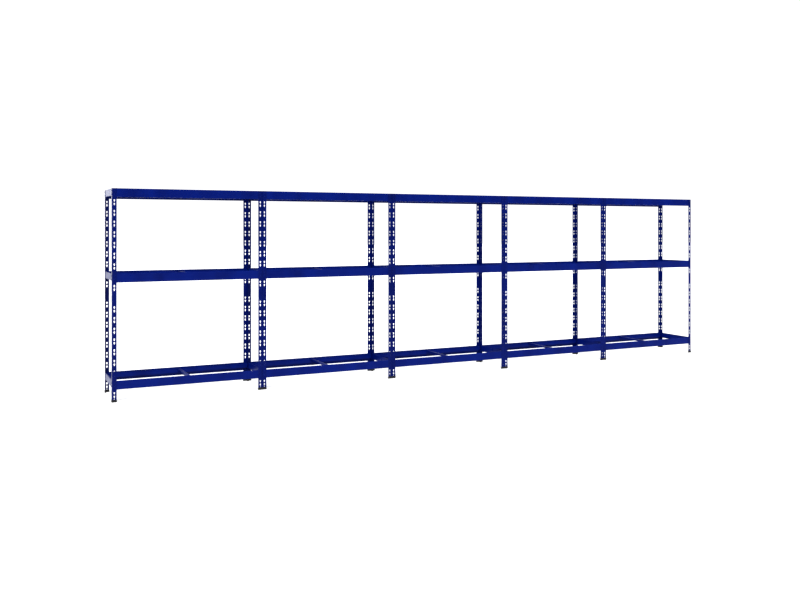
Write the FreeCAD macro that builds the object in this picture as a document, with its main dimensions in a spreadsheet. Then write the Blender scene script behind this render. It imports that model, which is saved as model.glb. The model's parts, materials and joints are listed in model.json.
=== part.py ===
import FreeCAD, Part
import Sketcher
import math
import os
import re

# A tyre storage rack: one run of boltless steel racking with three beam levels in every bay.
# Frames of a front post, a rear post and their side beams stand at the ends of every bay, and
# neighbouring bays share a frame. Beams hang by headed rivets in the keyholes of the posts.
# Lengths are in millimetres. +X runs along the rack, +Y to its rear and +Z up, and the origin
# is on the floor at the middle of the run.

SIZES = [
    ("bay_count", 5, "bays in the run"),
    ("bay_width", 1300, "from one frame to the next"),
    ("rack_depth", 500, "over the front and rear posts"),
    ("rack_height", 1800, "floor to the top of the posts"),
    ("sheet", 1.5, "thickness of the steel sheet"),
    ("bend", 3, "outer radius of a fold"),
    ("flat_fold", 1.35, "outer radius where the sheet is folded flat on itself"),
    ("post_flange", 38, "width of each flange of a post"),
    ("crease_depth", 3.2, "of the crease between the two folds of a tee post"),
    ("crease_gap", 0.2, "width of the crease at its bottom"),
    ("pair_pitch", 90, "from one pair of keyholes to the next"),
    ("pair_first", 60, "from the lower end of a post half to its first pair"),
    ("pair_gap", 30, "between the two keyholes of a pair"),
    ("keyhole_mouth", 12.5, "diameter of a keyhole's round top"),
    ("keyhole_seat", 7, "diameter of a keyhole's narrow foot"),
    ("keyhole_drop", 11, "from the mouth's centre down to the seat's centre"),
    ("small_hole", 7, "diameter of the anchor and splice holes"),
    ("anchor_height", 27, "of the anchor hole above the floor"),
    ("splice_rise", 16, "of the upper splice hole above the joint"),
    ("long_beam_height", 75, "height of a front or rear beam"),
    ("side_beam_height", 60, "height of a side beam"),
    ("beam_rise", 30, "from a pair's centre up to the top of the beam in it"),
    ("ledge_drop", 12, "from a beam's top down to its ledge"),
    ("ledge_depth", 17, "width of the ledge inside a beam"),
    ("ledge_lip", 38, "height of the lip that ends the ledge"),
    ("beam_return", 12, "width of the flange along a beam's foot"),
    ("beam_gap", 6, "from a frame's middle plane to the end of a long beam"),
    ("side_gap", 2, "from a post's inner face to the end of a side beam"),
    ("pass_gap", 2, "between a ledge and what is cut back to pass it"),
    ("tie_width", 32, "width of a tie bar"),
    ("tie_leg", 15, "depth of a tie bar's legs"),
    ("tie_gap", 0.5, "from a tie bar's end to the beam"),
    ("splice_leg", 30, "width of each leg of a splice angle"),
    ("splice_below", 58, "reach of a splice below the joint"),
    ("splice_above", 32, "reach of a splice above the joint"),
    ("foot_height", 20, "height of a foot cap"),
    ("foot_sole", 3, "thickness of a foot cap under the post"),
    ("foot_wall", 2, "thickness of a foot cap outside the post"),
    ("foot_inner", 4.5, "from the post's outer face to the cap's inner side"),
    ("foot_fit", 0.1, "gap between a cap and its post"),
    ("shank", 6.5, "diameter of a rivet's shank"),
    ("rivet_head", 11, "diameter of a rivet's head"),
    ("head_height", 2, "height of a rivet's head"),
    ("head_edge", 0.8, "height of the head's straight rim"),
    ("head_top", 7, "diameter of the flat on the head"),
    ("head_gap", 0.2, "between a rivet's head and the post"),
    ("rivet_tail", 10, "diameter of the upset tail inside the beam"),
]

# The pair of keyholes that carries each beam level, counted up from the floor.
LEVELS = {"bottom": 1, "middle": 11, "top": 19}
PAIRS_PER_HALF = 10

JOINT = "rack_height / 2"
UPPER_RIVET = "pair_gap / 2 - keyhole_drop / 2"
LOWER_RIVET = "-pair_gap / 2 - keyhole_drop / 2"
HOLE_LINE = "post_flange / 2"
BEAM_DEPTH = "sheet * 2 + ledge_depth"
LEDGE_EDGE = "rack_depth / 2 - sheet - sheet * 2 - ledge_depth - pass_gap"

doc = FreeCAD.newDocument("tyre_storage_rack")
sizes = doc.addObject("Spreadsheet::Sheet", "sizes")
for row, (alias, number, note) in enumerate(SIZES, 1):
    sizes.set(f"A{row}", note)
    sizes.set(f"B{row}", str(number))
    sizes.setAlias(f"B{row}", alias)
doc.recompute()


def value(text):
    """The number that an expression in the sheet's aliases stands for."""
    return float(sizes.evalExpression(text))


def bound(text):
    """The same expression as another object of the document has to write it."""
    return re.sub(r"[a-z][a-z_]+", lambda word: "sizes." + word.group(), text)


# ---- sketches and features ----


def new_sketch(body, name, plane, rise="0"):
    """A sketch on one of the body's origin planes, lifted off it by rise."""
    sketch = body.newObject("Sketcher::SketchObject", name)
    origin_plane = next(part for part in body.Origin.OriginFeatures if part.Role == plane)
    sketch.AttachmentSupport = [(origin_plane, "")]
    sketch.MapMode = "FlatFace"
    sketch.setExpression("AttachmentOffset.Base.z", bound(rise))
    return sketch


def fix_number(sketch, kind, places, text):
    """A dimension of the sketch, bound to an expression in the sheet."""
    index = sketch.addConstraint(Sketcher.Constraint(kind, *places, value(text)))
    sketch.setExpression(f"Constraints[{index}]", bound(text))


def fix_point(sketch, geometry, point, across, up):
    """Holds one point of a sketch at its distances from the sketch's origin."""
    fix_number(sketch, "DistanceX", (-1, 1, geometry, point), across)
    fix_number(sketch, "DistanceY", (-1, 1, geometry, point), up)


def outline(sketch, corners):
    """A closed polygon through corners, each a pair of expressions."""
    first = sketch.GeometryCount
    points = [FreeCAD.Vector(value(across), value(up), 0) for across, up in corners]
    for start, end in zip(points, points[1:] + points[:1]):
        sketch.addGeometry(Part.LineSegment(start, end))
    for index, (across, up) in enumerate(corners):
        following = first + (index + 1) % len(corners)
        sketch.addConstraint(Sketcher.Constraint("Coincident", first + index, 2, following, 1))
        fix_point(sketch, first + index, 1, across, up)


def rectangle(sketch, left, low, right, high):
    outline(sketch, [(left, low), (right, low), (right, high), (left, high)])


def circle(sketch, across, up, diameter):
    centre = FreeCAD.Vector(value(across), value(up), 0)
    ring = Part.Circle(centre, FreeCAD.Vector(0, 0, 1), value(diameter) / 2)
    index = sketch.addGeometry(ring)
    fix_point(sketch, index, 3, across, up)
    fix_number(sketch, "Diameter", (index,), diameter)


def keyhole(sketch, across, up):
    """A teardrop: a round mouth above a narrow seat, joined by the two lines tangent to both."""
    mouth_up = f"{up} + keyhole_drop / 2"
    seat_up = f"{up} - keyhole_drop / 2"
    mouth = FreeCAD.Vector(value(across), value(mouth_up), 0)
    seat = FreeCAD.Vector(value(across), value(seat_up), 0)
    mouth_radius = value("keyhole_mouth / 2")
    seat_radius = value("keyhole_seat / 2")
    lean = math.asin((mouth_radius - seat_radius) / (mouth - seat).Length)
    right = FreeCAD.Vector(math.cos(lean), math.sin(lean), 0)
    left = FreeCAD.Vector(-math.cos(lean), math.sin(lean), 0)
    upward = FreeCAD.Vector(0, 0, 1)
    mouth_circle = Part.Circle(mouth, upward, mouth_radius)
    seat_circle = Part.Circle(seat, upward, seat_radius)
    first = sketch.GeometryCount
    sketch.addGeometry(Part.ArcOfCircle(mouth_circle, lean, math.pi - lean))
    sketch.addGeometry(Part.LineSegment(mouth + left * mouth_radius, seat + left * seat_radius))
    sketch.addGeometry(Part.ArcOfCircle(seat_circle, math.pi - lean, 2 * math.pi + lean))
    sketch.addGeometry(Part.LineSegment(seat + right * seat_radius, mouth + right * mouth_radius))
    for index in range(4):
        following = first + (index + 1) % 4
        sketch.addConstraint(Sketcher.Constraint("Tangent", first + index, 2, following, 1))
    fix_point(sketch, first, 3, across, mouth_up)
    fix_point(sketch, first + 2, 3, across, seat_up)
    fix_number(sketch, "Diameter", (first,), "keyhole_mouth")
    fix_number(sketch, "Diameter", (first + 2,), "keyhole_seat")


def pad(body, sketch, length, both_ways=False, backwards=False):
    feature = body.newObject("PartDesign::Pad", sketch.Name + "_pad")
    feature.Profile = sketch
    feature.setExpression("Length", bound(length))
    feature.Midplane = both_ways
    feature.Reversed = backwards
    doc.recompute()
    return feature


def pocket(body, sketch, depth, both_ways=False):
    """Cuts the sketch out of the body, and stops if the cut takes nothing away."""
    before = body.Shape.Volume
    feature = body.newObject("PartDesign::Pocket", sketch.Name + "_cut")
    feature.Profile = sketch
    feature.setExpression("Length", bound(depth))
    feature.Midplane = both_ways
    doc.recompute()
    if feature.Shape.Volume >= before:
        raise RuntimeError(f"{feature.Name} cuts nothing")
    return feature


def repeat_upward(body, feature, sketch, count):
    """Repeats a cut at every keyhole pitch up the post."""
    before = feature.Shape.Volume
    pattern = body.newObject("PartDesign::LinearPattern", feature.Name + "_rows")
    pattern.Originals = [feature]
    pattern.Direction = (sketch, ["V_Axis"])
    pattern.setExpression("Length", bound(f"pair_pitch * {count - 1}"))
    pattern.Occurrences = count
    body.Tip = pattern
    doc.recompute()
    if pattern.Shape.Volume >= before:
        raise RuntimeError(f"{pattern.Name} repeats nothing")


def round_edges(body, name, radius, places):
    """Rounds the straight edges of the body that pass through the places."""
    base = body.Tip
    spots = [Part.Vertex(*place) for place in places]
    edges = []
    for index, edge in enumerate(base.Shape.Edges, 1):
        if any(edge.distToShape(spot)[0] < 1e-6 for spot in spots):
            edges.append(f"Edge{index}")
    if len(edges) != len(places):
        raise RuntimeError(f"{name} found {len(edges)} edges for {len(places)} places")
    feature = body.newObject("PartDesign::Fillet", name)
    feature.Base = (base, edges)
    feature.setExpression("Radius", bound(radius))
    doc.recompute()


# ---- the pieces, each modelled once about its own corner or middle ----


def post_half(name, section, folds, hole_lines, low, high, small_hole_up):
    """Half of a post, with its outer corner or crease on the Z axis.

    section is its outline seen from above, folds are (radius, corners) to round, and hole_lines
    are the distances across the front at which a column of keyholes stands. The fold or stem
    behind the corner has one column of its own.
    """
    body = doc.addObject("PartDesign::Body", name)
    plan = new_sketch(body, name + "_plan", "XY_Plane", low)
    outline(plan, section)
    pad(body, plan, f"{high} - ({low})")
    middle = value(f"({low} + {high}) / 2")
    for index, (radius, corners) in enumerate(folds, 1):
        places = [(value(across), value(back), middle) for across, back in corners]
        round_edges(body, f"{name}_fold_{index}", radius, places)
    half_start = f"{high} - rack_height / 2"
    columns = {"front": ("XZ_Plane", hole_lines), "side": ("YZ_Plane", [HOLE_LINE])}
    for face, (plane, lines) in columns.items():
        holes = new_sketch(body, f"{name}_{face}_keyholes", plane)
        small = new_sketch(body, f"{name}_{face}_small_hole", plane)
        for across in lines:
            for side in ("+", "-"):
                keyhole(holes, across, f"{half_start} + pair_first {side} pair_gap / 2")
            circle(small, across, small_hole_up, "small_hole")
        keyholes = pocket(body, holes, "sheet * 4", both_ways=True)
        repeat_upward(body, keyholes, holes, PAIRS_PER_HALF)
        pocket(body, small, "sheet * 4", both_ways=True)
    return body


def post(name, section, folds, hole_lines):
    """A whole post: two halves that meet end to end."""
    lower = post_half(
        name + "_lower", section, folds, hole_lines, "foot_sole", JOINT, "anchor_height"
    )
    upper = post_half(
        name + "_upper", section, folds, hole_lines, JOINT, "rack_height", f"{JOINT} + splice_rise"
    )
    whole = doc.addObject("Part::Compound", name)
    whole.Links = [lower, upper]
    return whole


def corner_post():
    """An angle with its fold at the rack's outer corner."""
    section = [
        ("0", "0"),
        ("post_flange", "0"),
        ("post_flange", "sheet"),
        ("sheet", "sheet"),
        ("sheet", "post_flange"),
        ("0", "post_flange"),
    ]
    folds = [("bend", [("0", "0")]), ("bend - sheet", [("sheet", "sheet")])]
    return post("corner_post", section, folds, [HOLE_LINE])


def tee_post():
    """One sheet folded into two flanges and a doubled stem, with a crease where they part."""
    section = [
        ("-post_flange", "0"),
        ("-crease_gap / 2", "0"),
        ("-crease_gap / 2", "crease_depth"),
        ("crease_gap / 2", "crease_depth"),
        ("crease_gap / 2", "0"),
        ("post_flange", "0"),
        ("post_flange", "sheet"),
        ("sheet", "sheet"),
        ("sheet", "post_flange"),
        ("-sheet", "post_flange"),
        ("-sheet", "sheet"),
        ("-post_flange", "sheet"),
    ]
    folds = [
        ("bend - sheet", [("sheet", "sheet"), ("-sheet", "sheet")]),
        ("bend", [("crease_gap / 2", "0"), ("-crease_gap / 2", "0")]),
        ("flat_fold", [("sheet", "post_flange"), ("-sheet", "post_flange")]),
    ]
    return post("tee_post", section, folds, ["-" + HOLE_LINE, HOLE_LINE])


def beam(name, height, span, length):
    """A folded beam, its outer face on y = 0 and the centre of its pair of rivets on z = 0.

    The web is doubled above the ledge, and a flange stiffens its foot. span is the distance
    between the outer faces or middle planes of the posts that carry it.
    """
    body = doc.addObject("PartDesign::Body", name)
    top = "beam_rise"
    ledge = "beam_rise - ledge_drop"
    foot = f"beam_rise - {height}"
    profile = new_sketch(body, name + "_profile", "YZ_Plane")
    outline(
        profile,
        [
            ("0", foot),
            ("0", top),
            ("sheet * 2", top),
            ("sheet * 2", ledge),
            (BEAM_DEPTH, ledge),
            (BEAM_DEPTH, f"{ledge} - ledge_lip"),
            (f"{BEAM_DEPTH} - sheet", f"{ledge} - ledge_lip"),
            (f"{BEAM_DEPTH} - sheet", f"{ledge} - sheet"),
            ("sheet", f"{ledge} - sheet"),
            ("sheet", f"{foot} + sheet"),
            ("beam_return", f"{foot} + sheet"),
            ("beam_return", foot),
        ],
    )
    pad(body, profile, length, both_ways=True)
    folds = [
        ("bend", [("0", foot), (BEAM_DEPTH, ledge)]),
        ("bend - sheet", [("sheet", f"{foot} + sheet")]),
        ("bend - sheet", [(f"{BEAM_DEPTH} - sheet", f"{ledge} - sheet")]),
        ("flat_fold", [("0", top), ("sheet * 2", top)]),
    ]
    for index, (radius, corners) in enumerate(folds, 1):
        places = [(0, value(back), value(up)) for back, up in corners]
        round_edges(body, f"{name}_fold_{index}", radius, places)
    holes = new_sketch(body, name + "_rivet_holes", "XZ_Plane")
    for side in ("", "-"):
        for up in (UPPER_RIVET, LOWER_RIVET):
            circle(holes, f"{side}({span} / 2 - {HOLE_LINE})", up, "shank")
    pocket(body, holes, "sheet * 2", both_ways=True)
    return body


def side_beam():
    """A lower beam for the sides, its ledge and foot cut back to pass the long beams."""
    body = beam(
        "side_beam", "side_beam_height", "rack_depth", "rack_depth - (sheet + side_gap) * 2"
    )
    notches = new_sketch(body, "side_beam_notches", "XY_Plane")
    for side in ("", "-"):
        near = f"{side}({LEDGE_EDGE})"
        far = f"{side}(rack_depth / 2)"
        rectangle(notches, near, "sheet * 2", far, f"{BEAM_DEPTH} + pass_gap")
    pocket(body, notches, "side_beam_height * 2", both_ways=True)
    return body


def tie_bar():
    """A channel across the bay, legs down, its web on the ledges at z = 0."""
    body = doc.addObject("PartDesign::Body", "tie_bar")
    section = new_sketch(body, "tie_bar_section", "XZ_Plane")
    outline(
        section,
        [
            ("-tie_width / 2", "-tie_leg"),
            ("-tie_width / 2", "sheet"),
            ("tie_width / 2", "sheet"),
            ("tie_width / 2", "-tie_leg"),
            ("tie_width / 2 - sheet", "-tie_leg"),
            ("tie_width / 2 - sheet", "0"),
            ("sheet - tie_width / 2", "0"),
            ("sheet - tie_width / 2", "-tie_leg"),
        ],
    )
    pad(body, section, "rack_depth - (sheet * 3 + tie_gap) * 2", both_ways=True)
    edge = value("tie_width / 2")
    upper = value("sheet")
    round_edges(body, "tie_bar_fold_1", "bend - sheet", [(edge, 0, upper), (-edge, 0, upper)])
    notches = new_sketch(body, "tie_bar_notches", "YZ_Plane")
    for side in ("", "-"):
        rectangle(
            notches, f"{side}({LEDGE_EDGE})", "-tie_leg * 2", f"{side}(rack_depth / 2)", "0"
        )
    pocket(body, notches, "tie_width * 2", both_ways=True)
    return body


def splice():
    """An angle inside the joint of two post halves, with a pressed lug in each hole it meets."""
    body = doc.addObject("PartDesign::Body", "splice")
    low = f"{JOINT} - splice_below"
    plan = new_sketch(body, "splice_plan", "XY_Plane", low)
    far = "sheet + splice_leg"
    outline(
        plan,
        [
            ("sheet", "sheet"),
            (far, "sheet"),
            (far, "sheet * 2"),
            ("sheet * 2", "sheet * 2"),
            ("sheet * 2", far),
            ("sheet", far),
        ],
    )
    pad(body, plan, "splice_below + splice_above")
    middle = value(JOINT)
    outer = value("sheet")
    round_edges(body, "splice_fold_1", "bend", [(outer, outer, middle)])
    round_edges(body, "splice_fold_2", "bend - sheet", [(2 * outer, 2 * outer, middle)])
    lower_lug = f"{JOINT} - pair_pitch + pair_first + ({UPPER_RIVET})"
    upper_lug = f"{JOINT} + splice_rise"
    for plane, backwards in (("XZ_Plane", True), ("YZ_Plane", False)):
        lugs = new_sketch(body, "splice_lugs_" + plane[:2].lower(), plane)
        for up in (lower_lug, upper_lug):
            circle(lugs, HOLE_LINE, up, "shank")
        pad(body, lugs, "sheet * 1.5", backwards=backwards)
    return body


def foot(name, outside, inside, folds):
    """A cap that the lower end of a post stands in."""
    body = doc.addObject("PartDesign::Body", name)
    plan = new_sketch(body, name + "_plan", "XY_Plane")
    outline(plan, outside)
    pad(body, plan, "foot_height")
    middle = value("foot_height / 2")
    places = [(value(across), value(back), middle) for across, back in folds]
    round_edges(body, name + "_corners", "foot_wall", places)
    hollow = new_sketch(body, name + "_hollow", "XY_Plane", "foot_height")
    outline(hollow, inside)
    pocket(body, hollow, "foot_height - foot_sole")
    return body


OUTER = "post_flange + foot_wall"
REACH = "post_flange + foot_fit"
SKIN = "sheet + foot_fit"
FOLD = "bend + foot_fit * 2"


def corner_foot():
    outside = [
        ("-foot_wall", "-foot_wall"),
        (OUTER, "-foot_wall"),
        (OUTER, "foot_inner"),
        ("foot_inner", "foot_inner"),
        ("foot_inner", OUTER),
        ("-foot_wall", OUTER),
    ]
    inside = [
        ("-foot_fit", "-foot_fit"),
        (REACH, "-foot_fit"),
        (REACH, SKIN),
        (FOLD, SKIN),
        (SKIN, FOLD),
        (SKIN, REACH),
        ("-foot_fit", REACH),
    ]
    return foot("corner_foot", outside, inside, outside[:3] + outside[4:])


def tee_foot():
    outside = [
        (f"-({OUTER})", "-foot_wall"),
        (OUTER, "-foot_wall"),
        (OUTER, "foot_inner"),
        ("foot_inner", "foot_inner"),
        ("foot_inner", OUTER),
        ("-foot_inner", OUTER),
        ("-foot_inner", "foot_inner"),
        (f"-({OUTER})", "foot_inner"),
    ]
    inside = [
        (f"-({REACH})", "-foot_fit"),
        (REACH, "-foot_fit"),
        (REACH, SKIN),
        (FOLD, SKIN),
        (SKIN, FOLD),
        (SKIN, REACH),
        (f"-({SKIN})", REACH),
        (f"-({SKIN})", FOLD),
        (f"-({FOLD})", SKIN),
        (f"-({REACH})", SKIN),
    ]
    return foot("tee_foot", outside, inside, outside[:3] + outside[4:6] + outside[7:])


def rivet(name, grip):
    """A headed rivet along Y, with the outer face of its beam on y = 0 and its head at -Y.

    grip is the thickness of post between the head and the beam.
    """
    body = doc.addObject("PartDesign::Body", name)
    profile = new_sketch(body, name + "_profile", "XY_Plane")
    under_head = f"-({grip} + head_gap)"
    outline(
        profile,
        [
            ("0", "sheet * 2"),
            ("rivet_tail / 2", "sheet * 2"),
            ("rivet_tail / 2", "sheet"),
            ("shank / 2", "sheet"),
            ("shank / 2", under_head),
            ("rivet_head / 2", under_head),
            ("rivet_head / 2", f"{under_head} - head_edge"),
            ("head_top / 2", f"{under_head} - head_height"),
            ("0", f"{under_head} - head_height"),
        ],
    )
    turned = body.newObject("PartDesign::Revolution", name + "_turned")
    turned.Profile = profile
    turned.ReferenceAxis = (profile, ["V_Axis"])
    turned.Angle = 360
    doc.recompute()
    return body


# ---- the rack, put together from copies of the pieces ----

nodes = []


def copies(name, piece, places):
    """A named sub-part: a piece, or an array of it, at places of (x, y, z, turn about Z)."""
    link = doc.addObject("App::Link", name)
    link.LinkedObject = piece
    link.Label = name
    spots = []
    for x, y, z, turn in places:
        about_z = FreeCAD.Rotation(FreeCAD.Vector(0, 0, 1), turn)
        spots.append(FreeCAD.Placement(FreeCAD.Vector(value(x), value(y), value(z)), about_z))
    if len(spots) == 1:
        link.Placement = spots[0]
        for axis, text in zip("xyz", places[0]):
            link.setExpression(f"Placement.Base.{axis}", bound(text))
    else:
        link.ElementCount = len(spots)
        link.ShowElement = False
        link.PlacementList = spots
    nodes.append(link)


BAYS = int(value("bay_count"))
FRONT = "-rack_depth / 2"
REAR = "rack_depth / 2"
FRONT_BEAM = "sheet - rack_depth / 2"
REAR_BEAM = "rack_depth / 2 - sheet"


def frame_x(frame):
    """Where a frame stands along the run, the first frame at the left end."""
    return f"bay_width * ({frame} - bay_count / 2)"


def bay_x(bay):
    return f"bay_width * ({bay} + 0.5 - bay_count / 2)"


def level_z(pair):
    return f"pair_first + pair_pitch * {pair}"


def is_end(frame):
    return frame in (0, BAYS)


def side_beam_spot(frame):
    """The outer face and the turn of the side beams of a frame, which face the nearer end."""
    if frame == BAYS:
        return f"{frame_x(frame)} - sheet", 90
    return f"{frame_x(frame)} + sheet", -90


def place_posts():
    corner = corner_post()
    tee = tee_post()
    corner_turns = {("front", 0): 0, ("rear", 0): -90, ("front", BAYS): 90, ("rear", BAYS): 180}
    for row, y, tee_turn in (("front", FRONT, 0), ("rear", REAR, 180)):
        for frame in range(BAYS + 1):
            turn = corner_turns.get((row, frame), tee_turn)
            piece = corner if is_end(frame) else tee
            copies(f"{row}_post_{frame + 1}", piece, [(frame_x(frame), y, "0", turn)])


def place_feet():
    """The caps stand on the posts' own places and turns."""
    ends = []
    for frame, front_turn, rear_turn in ((0, 0, -90), (BAYS, 90, 180)):
        ends.append((frame_x(frame), FRONT, "0", front_turn))
        ends.append((frame_x(frame), REAR, "0", rear_turn))
    inner = []
    for frame in range(1, BAYS):
        inner.append((frame_x(frame), FRONT, "0", 0))
        inner.append((frame_x(frame), REAR, "0", 180))
    copies("corner_post_feet", corner_foot(), ends)
    copies("tee_post_feet", tee_foot(), inner)


def place_splices():
    """One angle in every inner corner of every post."""
    inner_corners = {"right": ((FRONT, 0), (REAR, -90)), "left": ((FRONT, 90), (REAR, 180))}
    ends = []
    inner = []
    for frame in range(BAYS + 1):
        for side, corners in inner_corners.items():
            if (frame, side) in ((0, "left"), (BAYS, "right")):
                continue
            for y, turn in corners:
                group = ends if is_end(frame) else inner
                group.append((frame_x(frame), y, "0", turn))
    piece = splice()
    copies("corner_post_splices", piece, ends)
    copies("tee_post_splices", piece, inner)


def place_long_beams():
    piece = beam("long_beam", "long_beam_height", "bay_width", "bay_width - beam_gap * 2")
    for level, pair in LEVELS.items():
        for bay in range(BAYS):
            for row, y, turn in (("front", FRONT_BEAM, 0), ("rear", REAR_BEAM, 180)):
                name = f"{row}_{level}_beam_{bay + 1}"
                copies(name, piece, [(bay_x(bay), y, level_z(pair), turn)])


def place_side_beams():
    piece = side_beam()
    for frame in range(BAYS + 1):
        x, turn = side_beam_spot(frame)
        spots = [(x, "0", level_z(pair), turn) for pair in LEVELS.values()]
        copies(f"side_beams_{frame + 1}", piece, spots)


def place_tie_bars():
    piece = tie_bar()
    for bay in range(BAYS):
        spots = []
        for pair in LEVELS.values():
            spots.append((bay_x(bay), "0", f"{level_z(pair)} + beam_rise - ledge_drop", 0))
        copies(f"tie_bars_{bay + 1}", piece, spots)


def place_rivets():
    """Two rivets at each end of every beam, hanging in the seats of a pair of keyholes."""
    short = rivet("short_rivet", "sheet")
    long = rivet("long_rivet", "sheet * 2")
    rows = ((FRONT_BEAM, 0), (REAR_BEAM, 180))
    in_flanges = []
    in_corners = []
    in_stems = []
    for pair in LEVELS.values():
        for drop in (UPPER_RIVET, LOWER_RIVET):
            z = f"{level_z(pair)} + {drop}"
            for bay in range(BAYS):
                for end in (f"{frame_x(bay)} + {HOLE_LINE}", f"{frame_x(bay + 1)} - {HOLE_LINE}"):
                    in_flanges += [(end, y, z, turn) for y, turn in rows]
            for frame in range(BAYS + 1):
                x, turn = side_beam_spot(frame)
                group = in_corners if is_end(frame) else in_stems
                group.append((x, f"{HOLE_LINE} - rack_depth / 2", z, turn))
                group.append((x, f"rack_depth / 2 - {HOLE_LINE}", z, turn))
    copies("long_beam_rivets", short, in_flanges)
    copies("end_side_beam_rivets", short, in_corners)
    copies("inner_side_beam_rivets", long, in_stems)


place_posts()
place_feet()
place_splices()
place_long_beams()
place_side_beams()
place_tie_bars()
place_rivets()
doc.recompute()

for part in doc.Objects:
    if "Invalid" in part.State or "Error" in part.State:
        raise RuntimeError(f"{part.Label} is {part.State}")

shapes = {node.Label: Part.getShape(node) for node in nodes}
for label, shape in shapes.items():
    if shape.isNull() or not shape.isValid() or not shape.Solids:
        raise RuntimeError(f"{label} has no valid solid")

os.makedirs("parts", exist_ok=True)
for label, shape in shapes.items():
    shape.exportStep(f"parts/{label}.step")
    print(label, len(shape.Solids), "solids", round(shape.Volume / 1000, 1), "cm3")
print(len(shapes), "sub-parts,", sum(len(shape.Solids) for shape in shapes.values()), "solids")
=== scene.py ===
import json
import math
import bpy
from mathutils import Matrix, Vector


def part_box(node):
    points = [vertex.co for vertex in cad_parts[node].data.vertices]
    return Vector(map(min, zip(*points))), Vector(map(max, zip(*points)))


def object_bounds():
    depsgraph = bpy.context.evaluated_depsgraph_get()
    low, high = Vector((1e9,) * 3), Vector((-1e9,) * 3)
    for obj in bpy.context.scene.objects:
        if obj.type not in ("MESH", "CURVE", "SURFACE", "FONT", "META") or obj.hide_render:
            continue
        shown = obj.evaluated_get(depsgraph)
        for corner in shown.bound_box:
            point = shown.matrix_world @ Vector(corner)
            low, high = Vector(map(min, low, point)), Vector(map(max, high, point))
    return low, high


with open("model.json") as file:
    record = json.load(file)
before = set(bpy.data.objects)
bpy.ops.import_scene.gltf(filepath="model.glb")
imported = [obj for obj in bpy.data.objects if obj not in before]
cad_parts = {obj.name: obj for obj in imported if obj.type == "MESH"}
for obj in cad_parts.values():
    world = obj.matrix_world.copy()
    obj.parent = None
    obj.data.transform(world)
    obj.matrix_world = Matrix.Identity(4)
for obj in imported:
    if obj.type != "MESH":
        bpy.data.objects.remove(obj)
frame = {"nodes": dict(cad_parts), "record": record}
cad_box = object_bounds()
nodes = frame["nodes"]

# Lengths are in metres, in the row's own frame: +X along the run, +Y to its rear, +Z up.

# The camera's eye, measured from the front outer corner of the left front post's foot.
EYE_HEIGHT = 1.465
EYE_LEFT_OF_RACK = 0.917
EYE_BEFORE_RACK = 7.392
EYE_TURN = math.radians(26.0)
LENS_MM = 37.8
SHIFT_DOWN = -0.090

# Colours are red, green and blue in linear light.
BEAM_BLUES = {
    "deep": (0.0001, 0.0055, 0.085),
    "plain": (0.0003, 0.0083, 0.115),
    "pale": (0.0010, 0.0130, 0.155),
}
POST_BLUES = {
    "deep": (0.0001, 0.0040, 0.062),
    "plain": (0.0002, 0.0058, 0.092),
    "pale": (0.0008, 0.0100, 0.130),
}
RUBBED_BLUE = (0.0100, 0.0380, 0.260)
DUST = (0.300, 0.320, 0.360)
PLASTIC_BLACK = (0.010, 0.010, 0.011)
SCUFFED_BLACK = (0.028, 0.027, 0.026)
FLOOR_WHITE = (0.90, 0.90, 0.90)
ROOM_WHITE = (1.0, 1.0, 1.0)

# How much of each layer shows in a powder coat, from 0, none of it, to 1.
STREAKS_SHOWN = 0.40
DUST_SHOWN = 0.04
SPECKS_SHOWN = 0.18
BEAM_RUBBING = 0.45
NO_RUBBING = 0.0

UPRIGHT_STREAKS = (1.0, 1.0, 0.08)
COAT_ROUGHNESS = {"to_low": 0.27, "to_high": 0.36}
DUST_ROUGHENS = 0.25
RUBBING_SMOOTHS = 0.10
COAT_SPECULAR = 0.09
PLASTIC_ROUGHNESS = {"to_low": 0.52, "to_high": 0.72}
PLASTIC_SPECULAR = 0.35
FLOOR_ROUGHNESS = 0.75

# Depths of relief in the surfaces.
SHEET_WAVINESS = 0.0009
ORANGE_PEEL = 0.00014
COAT_GRAIN = 0.00002
MOULD_GRAIN = 0.00006

# The foot caps' edges: a weld joins their split corners before the bevel rounds them.
MOULDED_RADIUS = 0.0008
WELD_GAP = MOULDED_RADIUS / 100
ROUNDING_STEPS = 3
SAME_PLANE = math.radians(1.0)
SHARP_CORNER = math.radians(40.0)

FLOOR_SPAN = 120.0

# The room's brightness: what it sheds on everything, and what the camera sees of it.
SOFT_LIGHT = 0.68
SEEN_LIGHT = 1.0

# A Mix node has sockets for each kind of value, and these are the places of its colour ones.
FIRST_COLOUR = 6
SECOND_COLOUR = 7
MIXED_COLOUR = 2


# ---- node helpers ----


def opaque(colour):
    return (*colour, 1.0)


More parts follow.
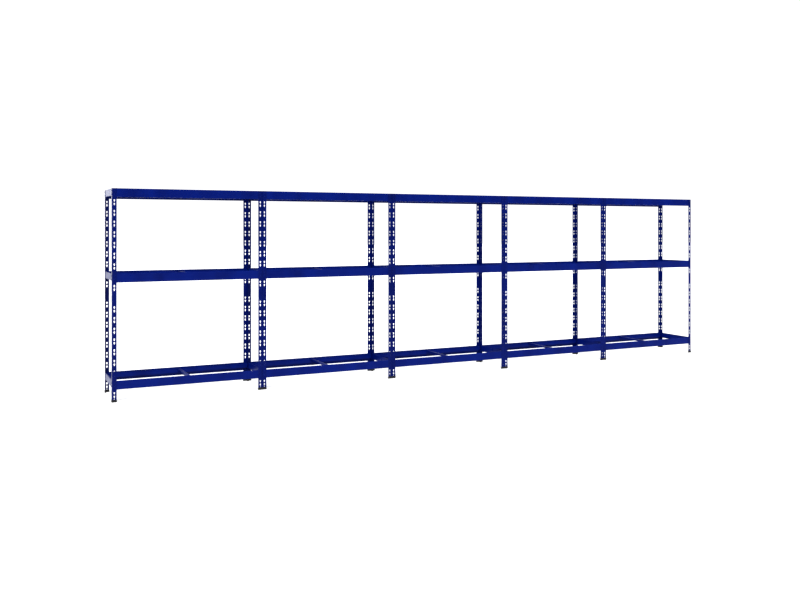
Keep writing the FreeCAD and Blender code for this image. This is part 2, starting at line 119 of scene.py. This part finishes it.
class Nodes:
    """The node tree of a material or a world, with short calls for the nodes that it needs."""

    def __init__(self, owner):
        owner.use_nodes = True
        self.owner = owner
        self.tree = owner.node_tree

    def add(self, kind):
        return self.tree.nodes.new(f"ShaderNode{kind}")

    def feed(self, socket, value):
        """Sets a socket to a number or colour, or links it to another node's output."""
        if isinstance(value, bpy.types.NodeSocket):
            self.tree.links.new(value, socket)
        else:
            socket.default_value = value

    def place(self, kind):
        """Coordinates: Object, in metres, or Generated, across the piece's own box.

        In a world, Generated is the direction.
        """
        return self.add("TexCoord").outputs[kind]

    def along(self, vector, axis):
        split = self.add("SeparateXYZ")
        self.feed(split.inputs["Vector"], vector)
        return split.outputs[axis]

    def span(self, value, low, high, to_low=0.0, to_high=1.0):
        """Maps low..high to to_low..to_high, clamped."""
        node = self.add("MapRange")
        self.feed(node.inputs["Value"], value)
        node.inputs["From Min"].default_value = low
        node.inputs["From Max"].default_value = high
        node.inputs["To Min"].default_value = to_low
        node.inputs["To Max"].default_value = to_high
        return node.outputs["Result"]

    def combine(self, operation, first, second):
        node = self.add("Math")
        node.operation = operation
        self.feed(node.inputs[0], first)
        self.feed(node.inputs[1], second)
        return node.outputs["Value"]

    def blend(self, amount, first, second):
        """A number between first and second."""
        node = self.add("Mix")
        self.feed(node.inputs["Factor"], amount)
        self.feed(node.inputs["A"], first)
        self.feed(node.inputs["B"], second)
        return node.outputs["Result"]


class Surface(Nodes):
    """A new material, with the patterns and relief that its shader is fed."""

    def __init__(self, name):
        super().__init__(bpy.data.materials.new(name))
        self.shader = self.tree.nodes["Principled BSDF"]

    def set_socket(self, socket, value):
        """Feeds one of the shader's own sockets."""
        self.feed(self.shader.inputs[socket], value)

    def noise(self, scale, detail, stretch=None, roughness=0.5):
        """Noise with features about 1 / scale metres wide, stretched along an axis if asked."""
        texture = self.add("TexNoise")
        texture.inputs["Scale"].default_value = scale
        texture.inputs["Detail"].default_value = detail
        texture.inputs["Roughness"].default_value = roughness
        point = self.place("Object")
        if stretch:
            mapping = self.add("Mapping")
            mapping.inputs["Scale"].default_value = stretch
            self.feed(mapping.inputs["Vector"], point)
            point = mapping.outputs["Vector"]
        self.feed(texture.inputs["Vector"], point)
        return texture.outputs["Fac"]

    def mix(self, amount, first, second):
        """A colour between first and second."""
        node = self.add("Mix")
        node.data_type = "RGBA"
        self.feed(node.inputs["Factor"], amount)
        for place, colour in ((FIRST_COLOUR, first), (SECOND_COLOUR, second)):
            self.feed(node.inputs[place], opaque(colour) if isinstance(colour, tuple) else colour)
        return node.outputs[MIXED_COLOUR]

    def bump(self, height, depth, under=None):
        """Relief of the given depth in metres, added to the relief under it."""
        node = self.add("Bump")
        node.inputs["Strength"].default_value = 1.0
        node.inputs["Distance"].default_value = depth
        self.feed(node.inputs["Height"], height)
        if under:
            self.feed(node.inputs["Normal"], under)
        return node.outputs["Normal"]

    def facing_up(self):
        """1 on a surface that faces up, 0 on one that doesn't."""
        normal = self.add("NewGeometry").outputs["True Normal"]
        return self.span(self.along(normal, "Z"), low=0.55, high=0.95)


# ---- materials ----


def powder_coat(name, blues, rubbing):
    """Semi-gloss powder coat on folded sheet: orange peel, faint clouds and streaks, a little dust.

    The dust lies on what faces up. rubbing is how far the coat is polished along the piece's top
    edge, from 0, as new, to 1.
    """
    coat = Surface(name)
    clouds = coat.span(coat.noise(scale=4.0, detail=4.0), low=0.32, high=0.68)
    streaks = coat.noise(scale=9.0, detail=3.0, stretch=UPRIGHT_STREAKS)
    streaks = coat.span(streaks, low=0.40, high=0.75)
    dust_patches = coat.noise(scale=38.0, detail=5.0, roughness=0.65)
    dust = coat.combine("MULTIPLY", coat.facing_up(), coat.span(dust_patches, low=0.42, high=0.75))
    specks = coat.span(coat.noise(scale=900.0, detail=1.0), low=0.70, high=0.78)
    own_height = coat.along(coat.place("Generated"), "Z")
    top_edge = coat.span(own_height, low=0.950, high=0.985, to_high=rubbing)
    rubbed_patches = coat.noise(scale=22.0, detail=5.0, roughness=0.7)
    rub = coat.combine("MULTIPLY", top_edge, coat.span(rubbed_patches, low=0.46, high=0.66))

    tone = coat.mix(clouds, blues["deep"], blues["plain"])
    tone = coat.mix(coat.combine("MULTIPLY", streaks, STREAKS_SHOWN), tone, blues["pale"])
    tone = coat.mix(coat.combine("MULTIPLY", dust, DUST_SHOWN), tone, DUST)
    tone = coat.mix(coat.combine("MULTIPLY", specks, SPECKS_SHOWN), tone, blues["pale"])
    tone = coat.mix(rub, tone, RUBBED_BLUE)

    gloss = coat.span(coat.noise(scale=24.0, detail=4.0), low=0.3, high=0.7, **COAT_ROUGHNESS)
    dulled = coat.combine("ADD", gloss, coat.combine("MULTIPLY", dust, DUST_ROUGHENS))
    polish = coat.combine("MULTIPLY", rub, RUBBING_SMOOTHS)

    waviness = coat.bump(coat.noise(scale=7.0, detail=1.0), SHEET_WAVINESS)
    peel = coat.bump(coat.noise(scale=420.0, detail=2.0), ORANGE_PEEL, under=waviness)
    grain = coat.bump(coat.noise(scale=1800.0, detail=1.0), COAT_GRAIN, under=peel)

    coat.set_socket("Base Color", tone)
    coat.set_socket("Roughness", coat.combine("SUBTRACT", dulled, polish))
    coat.set_socket("Normal", grain)
    coat.set_socket("Specular IOR Level", COAT_SPECULAR)
    return coat.owner


def moulded_plastic(name):
    """Matt black moulded plastic with a fine spark-eroded grain and faint grey scuffs."""
    plastic = Surface(name)
    scuffs = plastic.span(plastic.noise(scale=60.0, detail=5.0, roughness=0.7), low=0.45, high=0.8)
    grain = plastic.bump(plastic.noise(scale=1500.0, detail=2.0), MOULD_GRAIN)
    plastic.set_socket("Base Color", plastic.mix(scuffs, PLASTIC_BLACK, SCUFFED_BLACK))
    plastic.set_socket("Roughness", plastic.span(scuffs, low=0.0, high=1.0, **PLASTIC_ROUGHNESS))
    plastic.set_socket("Normal", grain)
    plastic.set_socket("Specular IOR Level", PLASTIC_SPECULAR)
    return plastic.owner


def white_paint(name):
    paint = Surface(name)
    paint.set_socket("Base Color", opaque(FLOOR_WHITE))
    paint.set_socket("Roughness", FLOOR_ROUGHNESS)
    return paint.owner


def paint_frame():
    """Gives every CAD node the finish that the record's material slot names."""
    finishes = {
        "blue_posts": powder_coat("blue_post_coat", POST_BLUES, NO_RUBBING),
        "blue_beams": powder_coat("blue_beam_coat", BEAM_BLUES, BEAM_RUBBING),
        "blue_rivets": powder_coat("blue_rivet_coat", BEAM_BLUES, NO_RUBBING),
        "black_plastic": moulded_plastic("black_foot_plastic"),
    }
    for part in frame["record"]["subparts"]:
        piece = nodes[part["node"]]
        for slot in piece.material_slots:
            slot.material = finishes[part["material_slot"]]


# ---- finer edges ----


def round_moulded_edges():
    """Rounds the moulded edges of the foot caps, which their solids leave sharp."""
    for name in ("corner_post_feet", "tee_post_feet"):
        caps = nodes[name]
        seams = caps.modifiers.new("joined_seams", "WELD")
        seams.merge_threshold = WELD_GAP
        faces = caps.modifiers.new("whole_faces", "DECIMATE")
        faces.decimate_type = "DISSOLVE"
        faces.angle_limit = SAME_PLANE
        edges = caps.modifiers.new("moulded_edges", "BEVEL")
        edges.width = MOULDED_RADIUS
        edges.segments = ROUNDING_STEPS
        edges.limit_method = "ANGLE"
        edges.angle_limit = SHARP_CORNER
        edges.use_clamp_overlap = True


# ---- stage ----


def pale_floor():
    bpy.ops.mesh.primitive_plane_add(size=FLOOR_SPAN, location=(0, 0, cad_box[0].z))
    floor = bpy.context.object
    floor.name = "floor"
    floor.data.materials.append(white_paint("floor_paint"))


def studio_world():
    """An evenly lit white room whose reflections are bright low behind the rack, dim elsewhere."""
    room = Nodes(bpy.data.worlds.new("studio"))
    bpy.context.scene.world = room.owner
    direction = room.place("Generated")
    behind = room.span(room.along(direction, "Y"), low=-0.4, high=0.6, to_low=0.05, to_high=1.0)
    level = room.span(room.along(direction, "Z"), low=0.05, high=0.12, to_low=2.5, to_high=0.15)
    reflected = room.combine("MULTIPLY", behind, level)
    ray = room.add("LightPath")
    light = room.blend(ray.outputs["Is Glossy Ray"], SOFT_LIGHT, reflected)
    light = room.blend(ray.outputs["Is Camera Ray"], light, SEEN_LIGHT)
    background = room.tree.nodes["Background"]
    room.feed(background.inputs["Color"], opaque(ROOM_WHITE))
    room.feed(background.inputs["Strength"], light)


def soft_sun(name, energy, width, lean, turn, reflected):
    """A wide soft lamp over the whole floor, leaning from overhead and turned about the vertical.

    Angles are in degrees. reflected says whether glossy surfaces show it.
    """
    lamp = bpy.data.lights.new(name, "SUN")
    lamp.energy = energy
    lamp.angle = math.radians(width)
    lamp_object = bpy.data.objects.new(name, lamp)
    lamp_object.rotation_euler = (math.radians(lean), 0.0, math.radians(turn))
    lamp_object.visible_glossy = reflected
    bpy.context.scene.collection.objects.link(lamp_object)


def lights():
    studio_world()
    soft_sun("left_front_lamp", energy=3.4, width=45.0, lean=42.0, turn=-30.0, reflected=True)
    soft_sun("right_rear_fill", energy=1.3, width=60.0, lean=55.0, turn=140.0, reflected=False)


def photograph_camera():
    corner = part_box("front_post_1")[0]
    camera_data = bpy.data.cameras.new("camera")
    camera_data.lens = LENS_MM
    camera_data.shift_y = SHIFT_DOWN
    camera = bpy.data.objects.new("camera", camera_data)
    camera.location = (
        corner[0] - EYE_LEFT_OF_RACK,
        corner[1] - EYE_BEFORE_RACK,
        cad_box[0].z + EYE_HEIGHT,
    )
    camera.rotation_euler = (math.radians(90.0), 0.0, -EYE_TURN)
    bpy.context.scene.collection.objects.link(camera)
    bpy.context.scene.camera = camera


bpy.context.scene.view_settings.view_transform = "Standard"
bpy.context.scene.view_settings.look = "Medium High Contrast"
photograph_camera()
pale_floor()
lights()
paint_frame()
round_moulded_edges()
